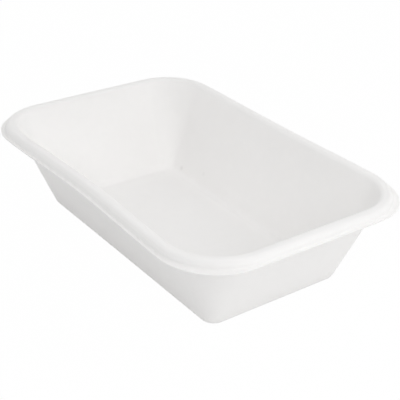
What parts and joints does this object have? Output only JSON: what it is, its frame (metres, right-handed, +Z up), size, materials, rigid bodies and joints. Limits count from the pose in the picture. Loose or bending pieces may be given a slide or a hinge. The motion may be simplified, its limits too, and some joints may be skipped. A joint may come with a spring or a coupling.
{
  "type": "moulded pulp food tray",
  "caption": "Deep rectangular food tray pressed in one piece from off-white cellulose pulp, with sloping walls, rounded corners, a rolled rim and a thin trimmed lip.",
  "frame": {"origin": "middle of the flat underside, on the surface that the tray stands on", "axes": "+X along the tray's length, +Y across its width, +Z up out of its open mouth"},
  "size_m": [0.23, 0.15, 0.0565],
  "materials": {
    "pulp": "matte"
  },
  "bodies": {
    "root": {"food_tray": "pulp"}
  },
  "joints": []
}
